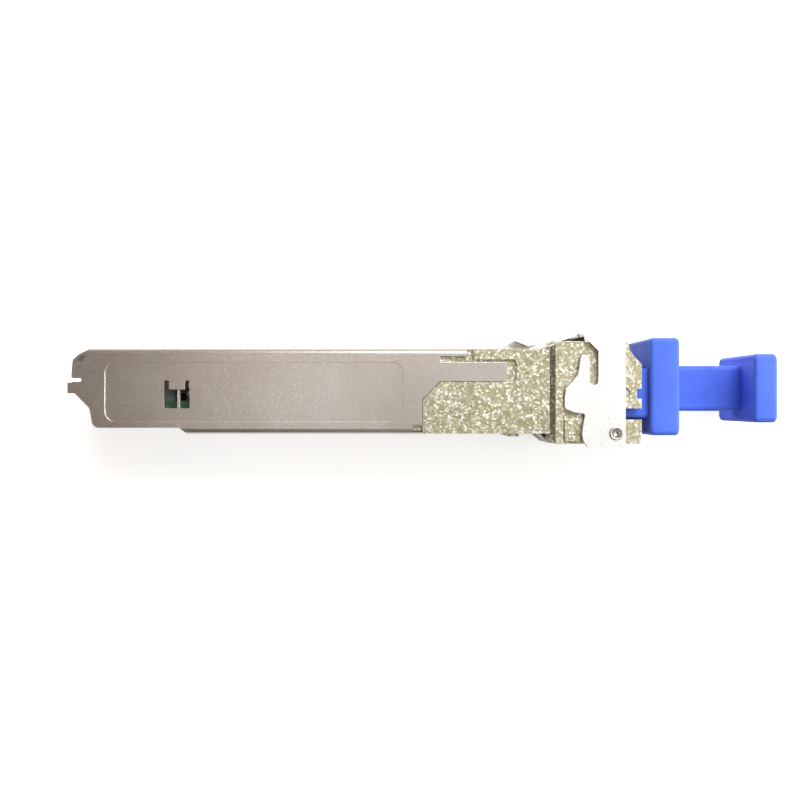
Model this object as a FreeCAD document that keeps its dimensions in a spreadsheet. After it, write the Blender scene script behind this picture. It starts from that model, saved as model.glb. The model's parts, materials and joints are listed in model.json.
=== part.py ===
"""Small pluggable optical transceiver module with its dust plug in, as separate pieces.

Frame, in millimetres: +X runs out of the front, where the fibres plug in, +Y is to the left as
seen from the front, and +Z is up. The origin is in the plane of the shoulder that stops the
module in its cage, half way across, and level with the underside of the case.
"""
import FreeCAD, Part
import math
import os
import re

import Sketcher

V = FreeCAD.Vector
doc = FreeCAD.newDocument("transceiver_module")

SIZES = {
    # The stamped case round the rear and the cast housing at the front.
    "case_half": 6.7, "case_tall": 8.4, "case_sheet": 0.3, "case_bend": 0.5, "case_gap": 0.02,
    "case_rear": -47.2, "tongue_rear": -47.7, "case_roof_rear": -45.75, "case_floor_rear": -35.8,
    "skirt_z": 0.58, "seam_x": -12.66, "roof_front": -8.17, "side_tongue_front": -4.24,
    "side_tongue_wide": 1.86, "side_tongue_drop": 1.35, "roof_lip": 0.74,
    "recess_rear": -44.0, "recess_front": -14.5, "recess_edge": 1.18, "recess_top_edge": 1.32,
    "recess_round": 1.05, "recess_deep": 0.14,
    "window_rear": -38.16, "window_front": -35.65, "window_low": 2.51, "window_high": 5.27,
    "window_tab_wide": 1.6, "window_tab_z": 4.37,
    # The cast housing: the shank inside the case, the flush middle and the wider nose.
    "shank_rear": -19.5, "shank_low": 0.35, "bed_gap": 0.1, "cast_wall": 0.64, "shoulder_out": 0.5,
    "collar_front": 1.19, "nose_front": 9.03, "nose_low": -1.0, "nose_rise": 0.7,
    "shoulder_bevel": 0.5, "nose_bevel": 0.25, "pocket_deep": 0.35, "pocket_round": 4.05,
    "optics_floor": 1.2, "roof_wall": 0.5, "optics_rear_wall": -3.4,
    "boss_half": 1.3, "boss_rear": -5.1, "boss_front": -2.5, "boss_tall": 0.45,
    # The two fibre ports.
    "port_pitch": 6.25, "port_wide": 5.3, "port_low": 1.4, "port_drop": 2.35, "port_back": -1.5,
    "port_key_wide": 3.0, "port_key_drop": 0.9, "optic_z": 4.0,
    # The bail, its axle and its crank.
    "pivot_x": 6.41, "pivot_z": 0.05, "bail_gap": 0.1, "bail_sheet": 0.5, "bail_rise": 1.03,
    "bail_front": 7.33, "bail_low": -1.3, "bail_turn": 1.0,
    "axle_thick": 1.0, "axle_wall": 0.1, "axle_fit": 0.03, "rivet_lip": 0.18, "rivet_tall": 0.15,
    "crank_half": 2.9, "crank_wall": 0.3, "crank_throw": 1.15, "crank_lead": 42.5, "pin_thick": 0.5,
    # The actuator under the nose.
    "cavity_side": 0.25, "cavity_front": 8.2, "cavity_roof": 1.0, "actuator_sheet": 0.25,
    "actuator_side": 0.15, "hub_gap": 0.07, "actuator_front": 7.8, "tine_inner": 1.5,
    "tine_outer": 2.85, "tine_rear": -1.04, "tine_high": 0.12, "pin_gap": 0.08,
    # The dust plug.
    "plug_side": 0.7, "plug_rear": 9.98, "plug_block_front": 12.97, "plug_low": -0.19,
    "plug_rise": 0.42, "plug_round": 0.45, "neck_half": 1.85, "neck_low": 2.19, "neck_high": 6.87,
    "grip_rear": 20.3, "grip_front": 22.72, "grip_low": 1.07, "grip_high": 7.93,
    "prong_side": 0.4, "prong_under": 0.15, "prong_over": 0.25, "prong_tip": 2.0,
    "prong_bore_gap": 0.3, "prong_bore_end": 7.6,
    # The circuit board.
    "board_low": 2.25, "board_thick": 1.0, "board_rear": -44.3, "board_front": -15.2,
    "board_half": 5.9, "card_half": 4.6, "card_front": -39.2, "board_neck": -19.9,
    "board_neck_gap": 0.2, "finger_pitch": 0.8, "finger_wide": 0.55, "finger_thick": 0.05,
    "finger_long": 2.4,
    # The optical assemblies.
    "barrel_thick": 4.0, "barrel_rear": -8.5, "flange_lip": 0.45, "flange_long": 0.8,
    "snout_wall": 0.5, "snout_front": 5.2, "bore_gap": 0.02, "sleeve_thick": 1.9,
    "ferrule_bore": 1.25, "sleeve_rear": 0.3, "sleeve_front": 4.9, "stub_rear": -2.0,
    "can_thick": 3.7, "header_thick": 4.6, "header_rear": -12.0, "header_front": -11.0,
    "lead_thick": 0.3, "lead_rear": -13.8, "lead_circle": 0.6, "flex_thick": 0.12,
    # The grounding spring on the casting's roof.
    "spring_sheet": 0.12, "spring_rear": -6.2, "spring_front": 1.1, "spring_inset": 0.76,
    "spring_apex_x": -3.36, "spring_rise": 0.86,
}
# Places that follow from the sizes, so that what fits together stays together.
FOLLOWING = {
    "case_inner": "case_half - case_sheet",
    "shank_half": "case_inner - recess_deep - case_gap",
    "bed_half": "case_inner - bed_gap",
    "flush_half": "case_half - 2 * case_gap",
    "nose_half": "case_half + shoulder_out",
    "pocket_half": "nose_half - pocket_deep",
    "optics_half": "shank_half - cast_wall",
    "spring_half": "flush_half - spring_inset",
    "recess_low": "recess_edge",
    "recess_high": "case_tall - recess_top_edge",
    "side_tongue_high": "case_tall - side_tongue_drop",
    "side_tongue_low": "side_tongue_high - side_tongue_wide",
    "roof_lip_z": "case_tall - roof_lip",
    "shank_high": "case_tall - case_sheet - 2 * case_gap",
    "nose_high": "case_tall + nose_rise",
    "port_high": "nose_high - port_drop",
    "port_key_high": "nose_high - port_key_drop",
    "bail_inner": "pocket_half + bail_gap",
    "bail_outer": "bail_inner + bail_sheet",
    "bail_top": "nose_high + bail_rise",
    "axle_bore": "axle_thick - 2 * axle_wall",
    "axle_end": "bail_outer + rivet_tall",
    "crank_hub": "axle_thick / 2 + crank_wall",
    "pin_x": "pivot_x + crank_throw * sin(crank_lead)",
    "pin_z": "pivot_z - crank_throw * cos(crank_lead)",
    "cavity_half": "crank_half + cavity_side",
    "actuator_half": "cavity_half - actuator_side",
    "actuator_high": "pivot_z - crank_hub - hub_gap",
    "actuator_low": "actuator_high - actuator_sheet",
    "plug_half": "bail_inner - plug_side",
    "plug_high": "nose_high + plug_rise",
    "prong_wide": "port_wide - 2 * prong_side",
    "prong_low": "port_low + prong_under",
    "prong_high": "port_high - prong_over",
    "prong_bore": "snout_thick + 2 * prong_bore_gap",
    "board_top": "board_low + board_thick",
    "board_neck_half": "optics_half - board_neck_gap",
    "snout_thick": "sleeve_thick + 2 * snout_wall",
    "flange_thick": "barrel_thick + 2 * flange_lip",
    "spring_apex_z": "case_tall + spring_rise",
}
PLANES = {"xz": "XZ_Plane", "yz": "YZ_Plane", "xy": "XY_Plane"}
WORD = re.compile(r"[a-z][a-z_]*")
PORTS = {"transmitter": -1, "receiver": 1}
FLANKS = {"right": -1, "left": 1}
parts = {}


def make_sheet():
    """Put every driving size in a spreadsheet, one named cell for each."""
    table = doc.addObject("Spreadsheet::Sheet", "Sizes")
    for row, (name, value) in enumerate(SIZES.items(), 1):
        table.set(f"A{row}", name)
        table.set(f"B{row}", str(value))
        table.setAlias(f"B{row}", name)
    doc.recompute()
    return table


sheet = make_sheet()
# An empty object outside the sheet, from which expressions are worked out while drawing.
gauge = doc.addObject("App::FeaturePython", "Gauge")


def spell(word):
    """Write one name as its cell, or as the expression that it follows from."""
    name = word[0]
    if name in FOLLOWING:
        return f"({bound(FOLLOWING[name])})"
    return "Sizes." + name if name in SIZES else name


def bound(text):
    """Write an expression with each size's name as its cell of the sheet."""
    return WORD.sub(spell, str(text))


def number(text):
    """Work out an expression's value now."""
    return float(gauge.evalExpression(bound(text)))


def bind(item, path, text):
    """Tie one property of an object to an expression in the sheet's sizes."""
    item.setExpression(path, bound(text))


def box(name, across_x, across_y, across_z):
    """Add a block from its low and high place on each axis."""
    block = doc.addObject("Part::Box", name)
    spans = (across_x, across_y, across_z)
    for edge, axis, (low, high) in zip(("Length", "Width", "Height"), "xyz", spans):
        bind(block, edge, f"({high}) - ({low})")
        bind(block, "Placement.Base." + axis, low)
    return block


def rod(name, axis, thick, span, at):
    """Add a round rod along X or Y from its diameter, its ends and its other two places."""
    turn = {"x": FreeCAD.Rotation(V(0, 1, 0), 90), "y": FreeCAD.Rotation(V(1, 0, 0), -90)}
    bar = doc.addObject("Part::Cylinder", name)
    bar.Placement = FreeCAD.Placement(V(0, 0, 0), turn[axis])
    bind(bar, "Radius", f"({thick}) / 2")
    bind(bar, "Height", f"({span[1]}) - ({span[0]})")
    other = "y" if axis == "x" else "x"
    bind(bar, "Placement.Base." + axis, span[0])
    bind(bar, "Placement.Base." + other, at[0])
    bind(bar, "Placement.Base.z", at[1])
    return bar


def fuse(name, pieces):
    """Join pieces that touch into one solid."""
    joined = doc.addObject("Part::MultiFuse", name)
    joined.Shapes = pieces
    return joined


def cut(name, base, tools):
    """Take one or more tools away from a base."""
    left = doc.addObject("Part::Cut", name)
    left.Base = base
    left.Tool = tools[0] if len(tools) == 1 else fuse(name + "_tools", tools)
    return left


def common(name, first, second):
    """Keep what two shapes share."""
    shared = doc.addObject("Part::Common", name)
    shared.Base = first
    shared.Tool = second
    return shared


def group(name, pieces):
    """Hold separate equal pieces as one sub-part."""
    held = doc.addObject("Part::Compound", name)
    held.Links = pieces
    return held


def part(name, item):
    """Name a finished sub-part and list it for writing."""
    item.Label = name
    parts[name] = item
    return item


def pin_point(sketch, geometry, position, corner):
    """Fix a sketch point at its two places, bound to the sheet where they name a size."""
    for kind, text in zip(("DistanceX", "DistanceY"), corner):
        constraint = Sketcher.Constraint(kind, -1, 1, geometry, position, number(text))
        index = sketch.addConstraint(constraint)
        if isinstance(text, str):
            bind(sketch, f"Constraints[{index}]", text)


def round_corner(sketch, edges, corner, place, back, ahead):
    """Put a tangent arc between two edges, and hold the corner they would have met in."""
    radius = number(corner[2])
    half = back.getAngle(ahead) / 2
    inward = (back + ahead).normalize()
    centre = place + inward * (radius / math.sin(half))
    reach = radius / math.tan(half)
    arc = sketch.addGeometry(Part.Arc(place + back * reach, centre - inward * radius,
                                      place + ahead * reach))
    turns_left = back.cross(ahead).z < 0
    first, last = (1, 2) if turns_left else (2, 1)
    before, after = edges
    sketch.addConstraint(Sketcher.Constraint("Tangent", before, 2, arc, first))
    sketch.addConstraint(Sketcher.Constraint("Tangent", arc, last, after, 1))
    index = sketch.addConstraint(Sketcher.Constraint("Radius", arc, radius))
    if isinstance(corner[2], str):
        bind(sketch, f"Constraints[{index}]", corner[2])
    meeting = sketch.addGeometry(Part.Point(place), True)
    for edge in edges:
        sketch.addConstraint(Sketcher.Constraint("PointOnObject", meeting, 1, edge))
    pin_point(sketch, meeting, 1, corner)


def draw_loop(sketch, corners):
    """Draw a closed outline; each corner is its two places and, if it is round, its radius."""
    places = [V(number(corner[0]), number(corner[1]), 0) for corner in corners]
    count = len(corners)
    backs = [(places[k - 1] - places[k]).normalize() for k in range(count)]
    aheads = [(places[(k + 1) % count] - places[k]).normalize() for k in range(count)]
    reach = []
    for corner, back, ahead in zip(corners, backs, aheads):
        radius = number(corner[2]) if len(corner) > 2 else 0
        reach.append(radius / math.tan(back.getAngle(ahead) / 2) if radius else 0)
    edges = []
    for k in range(count):
        after = (k + 1) % count
        start = places[k] + aheads[k] * reach[k]
        stop = places[after] + backs[after] * reach[after]
        edges.append(sketch.addGeometry(Part.LineSegment(start, stop)))
    for k, corner in enumerate(corners):
        pair = (edges[k - 1], edges[k])
        if reach[k]:
            round_corner(sketch, pair, corner, places[k], backs[k], aheads[k])
        else:
            sketch.addConstraint(Sketcher.Constraint("Coincident", pair[0], 2, pair[1], 1))
            pin_point(sketch, pair[1], 1, corner)


def plate(name, plane, loops, span):
    """Pad one or more outlines into a body between two places on the plane's normal."""
    body = doc.addObject("PartDesign::Body", name)
    origin = {feature.Role: feature for feature in body.Origin.OriginFeatures}
    sketch = body.newObject("Sketcher::SketchObject", name + "_outline")
    sketch.AttachmentSupport = [(origin[PLANES[plane]], "")]
    sketch.MapMode = "FlatFace"
    # The normal of the XZ plane points to -Y, so there the pad starts at the span's high end.
    start = f"-({span[1]})" if plane == "xz" else span[0]
    bind(sketch, "AttachmentOffset.Base.z", start)
    doc.recompute()
    for corners in loops:
        draw_loop(sketch, corners)
    pad = body.newObject("PartDesign::Pad", name + "_pad")
    pad.Profile = sketch
    bind(pad, "Length", f"({span[1]}) - ({span[0]})")
    doc.recompute()
    return body


def strip(route, thick, bend):
    """Outline of a bent sheet, from the middle line of its section and its bend radius."""
    places = [V(number(u), number(v), 0) for u, v in route]
    sheet_thick = number(thick)
    sides = []
    for side in (1, -1):
        corners = []
        for k, place in enumerate(places):
            before = (place - places[k - 1]).normalize() if k else None
            after = (places[k + 1] - place).normalize() if k + 1 < len(places) else None
            before = before or after
            after = after or before
            normal = V(-before.y - after.y, before.x + after.x, 0).normalize()
            lean = normal.dot(V(-after.y, after.x, 0))
            corner = place + normal * (side * sheet_thick / 2 / lean)
            turn = before.cross(after).z
            if abs(turn) < 1e-6:
                corners.append((corner.x, corner.y))
            else:
                inside = turn * side > 0
                radius = bend - sheet_thick / 2 if inside else bend + sheet_thick / 2
                corners.append((corner.x, corner.y, radius))
        sides.append(corners)
    return sides[0] + sides[1][::-1]


def flank_span(side, inner, outer):
    """Span across Y on one side of the module, from the places on its left side."""
    return (inner, outer) if side > 0 else (f"-({outer})", f"-({inner})")


def rectangle(across, up, radius=None):
    """Corners of an upright rectangle, with one radius at all four if it is given."""
    corners = [(across[0], up[0]), (across[1], up[0]), (across[1], up[1]), (across[0], up[1])]
    return [corner + (radius,) for corner in corners] if radius else corners


# The stamped rear case

def make_rear_case():
    """Sheet tube, trimmed to its side view, with pressed sides, a window and a rear flap."""
    half = "case_half"
    inside = "case_inner"
    tube = plate("case_tube", "yz", [
        rectangle((f"-{half}", half), ("0", "case_tall"), "case_bend"),
        rectangle((f"-({inside})", inside), ("case_sheet", "case_tall - case_sheet"),
                  "case_bend - case_sheet"),
    ], ("tongue_rear", "side_tongue_front"))
    side_view = plate("case_side_view", "xz", [[
        ("case_floor_rear", "-0.1"), ("seam_x", "-0.1"), ("seam_x", "3.37"),
        ("seam_x + 1.76", "side_tongue_low"), ("side_tongue_front", "side_tongue_low"),
        ("side_tongue_front", "side_tongue_high"), ("seam_x + 1.82", "side_tongue_high"),
        ("seam_x + 1.82", "roof_lip_z"), ("roof_front", "roof_lip_z"), ("roof_front", "case_tall + 0.1"),
        ("case_roof_rear", "case_tall + 0.1"), ("case_roof_rear", "case_tall - 0.4"),
        ("-46.3", "case_tall - 1.2"),
        ("case_rear", "case_tall - 1.2"), ("case_rear", "5.06"), ("tongue_rear", "5.06"),
        ("tongue_rear", "3.99"),
        ("-47.0", "3.99"), ("-45.55", "2.54"), ("-45.35", "1.65"), ("-45.2", "skirt_z", "0.7"),
        ("-36.66", "skirt_z"),
    ]], ("-case_half - 1", "case_half + 1"))
    trimmed = common("case_trimmed", tube, side_view)
    added = [trimmed]
    removed = []
    for name, side in FLANKS.items():
        recess = rectangle(("recess_rear", "recess_front"), ("recess_low", "recess_high"), "recess_round")
        removed.append(plate(f"case_recess_{name}", "xz", [recess],
                             flank_span(side, "case_half - recess_deep", "case_half + 1")))
        added.append(plate(f"case_recess_back_{name}", "xz", [recess],
                           flank_span(side, "case_inner - recess_deep", "case_half - case_sheet / 2")))
        tab_rear = "(window_rear + window_front - window_tab_wide) / 2"
        tab_front = "(window_rear + window_front + window_tab_wide) / 2"
        window = [("window_rear", "window_low"), ("window_front", "window_low"),
                  ("window_front", "window_high"), (tab_front, "window_high"),
                  (tab_front, "window_tab_z"), (tab_rear, "window_tab_z"),
                  (tab_rear, "window_high"), ("window_rear", "window_high")]
        removed.append(plate(f"case_window_{name}", "xz", [window],
                             flank_span(side, "case_half - 1", "case_half + 1")))
        removed.append(plate(f"case_slit_{name}", "xz", [rectangle(("case_rear - 1", "case_rear + 0.9"),
                             ("5.13", "5.48"), "0.17")],
                             flank_span(side, "case_half - 1", "case_half + 1")))
        removed.append(box(f"case_relief_{name}", ("seam_x - 0.85", "seam_x + 1"),
                           flank_span(side, "case_half - 1", "case_half + 1"), ("0.2", "0.86")))
    flap = strip([("case_roof_rear + 0.4", "case_tall - case_sheet / 2"),
                  ("case_roof_rear", "case_tall - 0.15"),
                  ("-46.75", "case_tall - 0.65"), ("-47.3", "case_tall - 1.15"),
                  ("-47.42", "case_tall - 2.8")], "case_sheet", 0.3)
    added.append(plate("case_flap", "xz", [flap], ("-case_half + 0.9", "case_half - 0.9")))
    lift = strip([("case_floor_rear + 0.6", "case_sheet / 2"), ("case_floor_rear", "case_sheet / 2"),
                  ("-36.6", "0.75")], "case_sheet", 0.3)
    added.append(plate("case_lift", "xz", [lift], ("-case_half + 0.7", "case_half - 0.7")))
    part("rear_case", cut("case_finished", fuse("case_whole", added), removed))


# The cast front housing

def housing_blocks():
    """Shank, flush middle, shoulder and nose of the casting, with the latch boss under it."""
    shank = box("housing_shank", ("shank_rear", "seam_x + 2"), ("-shank_half", "shank_half"),
                ("shank_low", "shank_high"))
    middle = box("housing_middle", ("seam_x + 0.05", "0.1"), ("-flush_half", "flush_half"),
                 ("0", "case_tall"))
    bevel = "shoulder_bevel"
    nose = plate("housing_nose", "xz", [[
        ("0", "-0.5"), (bevel, "nose_low"), ("nose_front", "nose_low"),
        ("nose_front", "nose_high - 2.26"),
        ("nose_front - 0.35", "nose_high - 1.87"), ("nose_front - 0.81", "nose_high - 1.41"),
        ("nose_front - 1.2", "nose_high - 0.73"), ("nose_front - 1.38", "nose_high", "0.2"),
        (f"{bevel} + nose_bevel", "nose_high"), (bevel, "nose_high - nose_bevel"),
        ("0", "nose_high - 0.5"),
    ]], ("-nose_half", "nose_half"))
    boss = plate("housing_boss", "xz", [[
        ("boss_rear", "0.1"), ("boss_rear", "0"), ("boss_rear + 1.6", "-boss_tall"),
        ("boss_front", "-boss_tall"), ("boss_front", "0.1"),
    ]], ("-boss_half", "boss_half"))
    return [shank, middle, nose, boss]


def housing_side_cuts(name, side):
    """Cuts in one side of the casting: bail pocket, tongue bed, shoulder, slot and notch."""
    outer = flank_span(side, "pocket_half", "nose_half + 1")
    turn_x = "collar_front + pocket_round"
    # The pocket's rear wall rises straight, then leans forward in three chords of one arc.
    arc = [(f"{turn_x} - pocket_round * cos({angle})", f"nose_high - 4.29 + pocket_round * sin({angle})")
           for angle in (0, 20, 40, 60)]
    pocket = [("nose_front + 1", "nose_low - 1"), ("nose_front + 1", "nose_high + 1"),
              (arc[-1][0], "nose_high + 1")] + arc[::-1] + [("collar_front", "nose_low - 1")]
    through = flank_span(side, "port_pitch / 2 + port_wide / 2 - 0.2", "nose_half + 1")
    yield plate(f"pocket_{name}", "xz", [pocket], outer)
    slot = rectangle(("6.0", "nose_front + 1"), ("port_low", "port_low + 1.11"), "0.3")
    yield plate(f"side_slot_{name}", "xz", [slot], through)
    yield box(f"side_notch_{name}", ("8.56", "nose_front + 1"), through, ("3.45", "4.43"))
    yield rod(f"dimple_{name}", "y", "1.2", flank_span(side, "pocket_half - 0.2", "pocket_half + 0.2"),
              ("7.31", "3.97"))
    bed = rectangle(("seam_x - 1", "side_tongue_front + 0.96"),
                    ("side_tongue_low - 0.06", "side_tongue_high + 0.3"), "0.4")
    yield plate(f"tongue_bed_{name}", "xz", [bed], flank_span(side, "bed_half", "nose_half"))
    yield box(f"lip_bed_{name}", ("seam_x - 1", "roof_front + 0.61"),
              flank_span(side, "bed_half", "nose_half"),
              ("side_tongue_high - 0.05", "case_tall + 1"))
    front_bed = [("seam_x - 1", "-0.5"), ("seam_x + 0.06", "-0.5"), ("seam_x + 0.06", "3.35"),
                 ("seam_x + 1.84", "side_tongue_low - 0.04"), ("seam_x - 1", "side_tongue_low")]
    yield plate(f"case_bed_{name}", "xz", [front_bed], flank_span(side, "bed_half", "nose_half"))
    yield plate(f"shoulder_{name}", "xy", [[
        ("-0.01", str(side * number("flush_half"))), ("shoulder_bevel", str(side * number("nose_half"))),
        ("-0.01", str(side * number("nose_half + 1"))),
    ]], ("nose_low - 1", "nose_high + 1"))


def housing_inside_cuts():
    """Fibre ports, optics well, actuator cavity, axle bore and beds for the roof and spring."""
    key = "port_key_wide / 2"
    for name, side in PORTS.items():
        middle = f"{side} * port_pitch / 2"
        yield box(f"{name}_port", ("port_back", "nose_front + 1"),
                  (f"{middle} - port_wide / 2", f"{middle} + port_wide / 2"), ("port_low", "port_high"))
        yield box(f"{name}_key", ("4.4", "nose_front + 1"), (f"{middle} - {key}", f"{middle} + {key}"),
                  ("port_high - 0.5", "port_key_high"))
        yield rod(f"{name}_wall_bore", "x", "snout_thick + 2 * bore_gap",
                  ("optics_rear_wall - 1", "port_back + 1"),
                  (middle, "optic_z"))
    yield box("optics_well", ("shank_rear - 1", "optics_rear_wall"), ("-optics_half", "optics_half"),
              ("optics_floor", "case_tall - roof_wall"))
    yield box("optics_mouth", ("shank_rear - 1", "roof_front - 1.2"), ("-optics_half", "optics_half"),
              ("optics_floor", "case_tall + 1"))
    yield box("roof_bed", ("seam_x - 1", "roof_front + 0.08"), ("-nose_half", "nose_half"),
              ("case_tall - case_sheet - 0.04", "case_tall + 1"))
    yield box("actuator_cavity", ("-0.5", "cavity_front"), ("-cavity_half", "cavity_half"),
              ("nose_low - 1", "cavity_roof"))
    yield rod("axle_bore", "y", "axle_thick + 2 * axle_fit", ("-nose_half - 1", "nose_half + 1"),
              ("pivot_x", "pivot_z"))
    for name, side in FLANKS.items():
        yield box(f"tine_lane_{name}", ("-3.2", "0.1"),
                  flank_span(side, "tine_inner - 0.1", "tine_outer + 0.1"),
                  ("-1", "0.5"))
    yield box("spring_bed", ("spring_rear - 0.1", "spring_front + 0.1"),
              ("-spring_half - 0.05", "spring_half + 0.05"),
              ("case_tall - spring_sheet - 0.02", "case_tall + 0.22"))


def housing_stops():
    """L-shaped stop in each bail pocket, against which the closed bail rests."""
    for name, side in FLANKS.items():
        yield plate(f"bail_stop_{name}", "xz", [[
            ("1.38", "-0.72"), ("2.77", "-0.72"), ("2.77", "-0.23"), ("2.17", "-0.23"),
            ("2.17", "1.4"), ("1.38", "1.4"),
        ]], flank_span(side, "pocket_half - 0.2", "nose_half"))


def make_front_housing():
    """One casting that holds the optics, stops in the cage and carries the bail."""
    blocks = fuse("housing_blank", housing_blocks())
    cuts = [tool for name, side in FLANKS.items() for tool in housing_side_cuts(name, side)]
    opened = cut("housing_opened", blocks, cuts + list(housing_inside_cuts()))
    part("front_housing", fuse("housing_finished", [opened] + list(housing_stops())))


# The grounding spring

def make_ground_spring():
    """Sheet frame on the casting's roof with a row of fingers lanced out of it."""
    fingers = 4
    pitch = "2.9"
    floor_z = "case_tall - spring_sheet"
    frame = box("spring_frame", ("spring_rear", "spring_front"), ("-spring_half", "spring_half"),
                (floor_z, "case_tall"))
    lanced = []
    added = []
    line = "case_tall - spring_sheet / 2"
    route = [("-5.2", line), ("-4.61", line), ("spring_apex_x", "spring_apex_z"),
             ("-2.05", "case_tall + 0.33"), ("-1.15", "case_tall + 0.4")]
    for index in range(fingers):
        middle = f"{index - (fingers - 1) / 2} * {pitch}"
        lanced.append(box(f"spring_hole_{index}", ("-4.7", "-1.0"),
                          (f"{middle} - 1.2", f"{middle} + 1.2"),
                          ("case_tall - 1", "case_tall + 1")))
        added.append(plate(f"spring_finger_{index}", "xz", [strip(route, "spring_sheet", 0.25)],
                           (f"{middle} - 1.1", f"{middle} + 1.1")))
    part("ground_spring", fuse("spring_finished", [cut("spring_lanced", frame, lanced)] + added))


# The bail body

def make_bail():
    """Stamped stirrup: two shaped side plates, a rolled top bar and a rear thumb lip."""
    side_plate = [
        ("bail_front", "bail_low", "0.25"), ("bail_front", "bail_top - 0.83"),
        ("3.46", "bail_top - 0.83"),
        ("3.95", "bail_top - 1.33"), ("4.66", "bail_top - 1.93"), ("4.66", "bail_top - 5.33", "0.42"),
        ("3.8", "bail_top - 5.33", "0.42"), ("3.8", "bail_top - 2.83"),
        ("3.55", "bail_top - 2.38", "0.2"),
        ("3.05", "bail_top - 2.38", "0.2"), ("2.83", "bail_top - 2.93"), ("2.77", "bail_top - 3.53"),
        ("2.62", "bail_top - 4.31"), ("1.45", "4.5"), ("1.36", "3.9"), ("1.36", "2.5", "0.3"),
        ("2.4", "2.1"), ("3.4", "1.98", "0.25"), ("3.15", "0.9"), ("3.02", "0"), ("3.11", "-0.6"),
        ("3.55", "bail_low"),
    ]
    pieces = [plate(f"bail_side_{name}", "xz", [side_plate], flank_span(side, "bail_inner", "bail_outer"))
              for name, side in FLANKS.items()]
    middle = "bail_outer - bail_sheet / 2"
    top = "bail_top - bail_sheet / 2"
    foot = "bail_top - 1.13"
    arch = strip([(f"-({middle})", foot), (f"-({middle})", top), (middle, top), (middle, foot)],
                 "bail_sheet", number("bail_turn - bail_sheet / 2"))
    pieces.append(plate("bail_bar", "yz", [arch], ("3.36", "7.08")))
    lip = strip([("3.6", top), ("2.3", "bail_top - 0.41"), ("0.75", "bail_top - 0.8")], 0.34, 0.6)
    pieces.append(plate("bail_lip", "xz", [lip], ("-3.4", "3.4")))
    hole = rod("bail_hole", "y", "axle_thick", ("-bail_outer - 1", "bail_outer + 1"),
               ("pivot_x", "pivot_z"))
    part("bail", cut("bail_finished", fuse("bail_blank", pieces), [hole]))


def make_pivot_axle():
    """Tubular axle, headed over outside the bail at both ends."""
    at = ("pivot_x", "pivot_z")
    shaft = rod("axle_shaft", "y", "axle_thick", ("-axle_end", "axle_end"), at)
    heads = [rod(f"axle_head_{name}", "y", "axle_thick + 2 * rivet_lip",
                 flank_span(side, "bail_outer", "axle_end"), at)
             for name, side in FLANKS.items()]
    bore = rod("axle_hollow", "y", "axle_bore", ("-axle_end - 1", "axle_end + 1"), at)
    part("pivot_axle", cut("axle_finished", fuse("axle_blank", [shaft] + heads), [bore]))


def make_crank():
    """Hub on the axle with two cheeks and the pin that moves the actuator."""
    at = ("pivot_x", "pivot_z")
    hub = rod("crank_hub_solid", "y", "2 * crank_hub", ("-crank_half", "crank_half"), at)
    arm_line = strip([at, ("pin_x", "pin_z")], "pin_thick", 1)
    cheeks = [plate(f"crank_cheek_{name}", "xz", [arm_line],
                    flank_span(side, "crank_half - 0.7", "crank_half"))
              for name, side in FLANKS.items()]
    pin = rod("crank_pin", "y", "pin_thick", ("-crank_half", "crank_half"), ("pin_x", "pin_z"))
    bore = rod("crank_bore", "y", "axle_thick", ("-crank_half - 1", "crank_half + 1"), at)
    part("crank", cut("crank_finished", fuse("crank_blank", [hub, pin] + cheeks), [bore]))


# The actuator

def make_actuator():
    """Flat slide under the nose with a slot for the crank pin and two tines turned up at 45 degrees."""
    gap = "(pin_thick / 2 + pin_gap)"
    flat = box("actuator_flat", ("0.5", "actuator_front"), ("-actuator_half", "actuator_half"),
               ("actuator_low", "actuator_high"))
    slot = box("actuator_slot", (f"pin_x - {gap}", f"pin_x + {gap}"),
               ("-crank_half - 0.05", "crank_half + 0.05"),
               ("actuator_low - 1", "actuator_high + 1"))
    lighten = box("actuator_window", ("1.6", "4.2"), ("-1.4", "1.4"),
                  ("actuator_low - 1", "actuator_high + 1"))
    line = "actuator_low + actuator_sheet / 2"
    tine = strip([("0.9", line), ("0.25", line), ("tine_rear", "tine_high")], "actuator_sheet", 0.25)
    tines = [plate(f"actuator_tine_{name}", "xz", [tine], flank_span(side, "tine_inner", "tine_outer"))
             for name, side in FLANKS.items()]
    part("actuator_plate", fuse("actuator_finished",
                                [cut("actuator_slotted", flat, [slot, lighten])] + tines))


# The dust plug

def make_dust_plug():
    """Moulded plug: a block across the nose, a neck, a grip and a prong for each port."""
    across = ("-plug_half", "plug_half")
    round_by = "plug_round"
    block = plate("plug_block", "yz", [rectangle(across, ("plug_low", "plug_high"), round_by)],
                  ("plug_rear", "plug_block_front"))
    neck = plate("plug_neck", "yz", [rectangle(("-neck_half", "neck_half"), ("neck_low", "neck_high"),
                                               round_by)],
                 ("plug_block_front - 0.5", "grip_rear + 0.5"))
    grip = plate("plug_grip", "yz", [rectangle(across, ("grip_low", "grip_high"), round_by)],
                 ("grip_rear", "grip_front"))
    pieces = [block, neck, grip]
    bores = []
    for name, side in PORTS.items():
        middle = f"{side} * port_pitch / 2"
        sides = (f"{middle} - prong_wide / 2", f"{middle} + prong_wide / 2")
        pieces.append(box(f"plug_prong_{name}", ("prong_tip", "plug_rear + 0.5"), sides,
                          ("prong_low", "prong_high")))
        bores.append(rod(f"plug_bore_{name}", "x", "prong_bore", ("prong_tip - 1", "prong_bore_end"),
                         (middle, "optic_z")))
    part("dust_plug", cut("plug_finished", fuse("plug_blank", pieces), bores))


# The circuit board and what is on it

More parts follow.
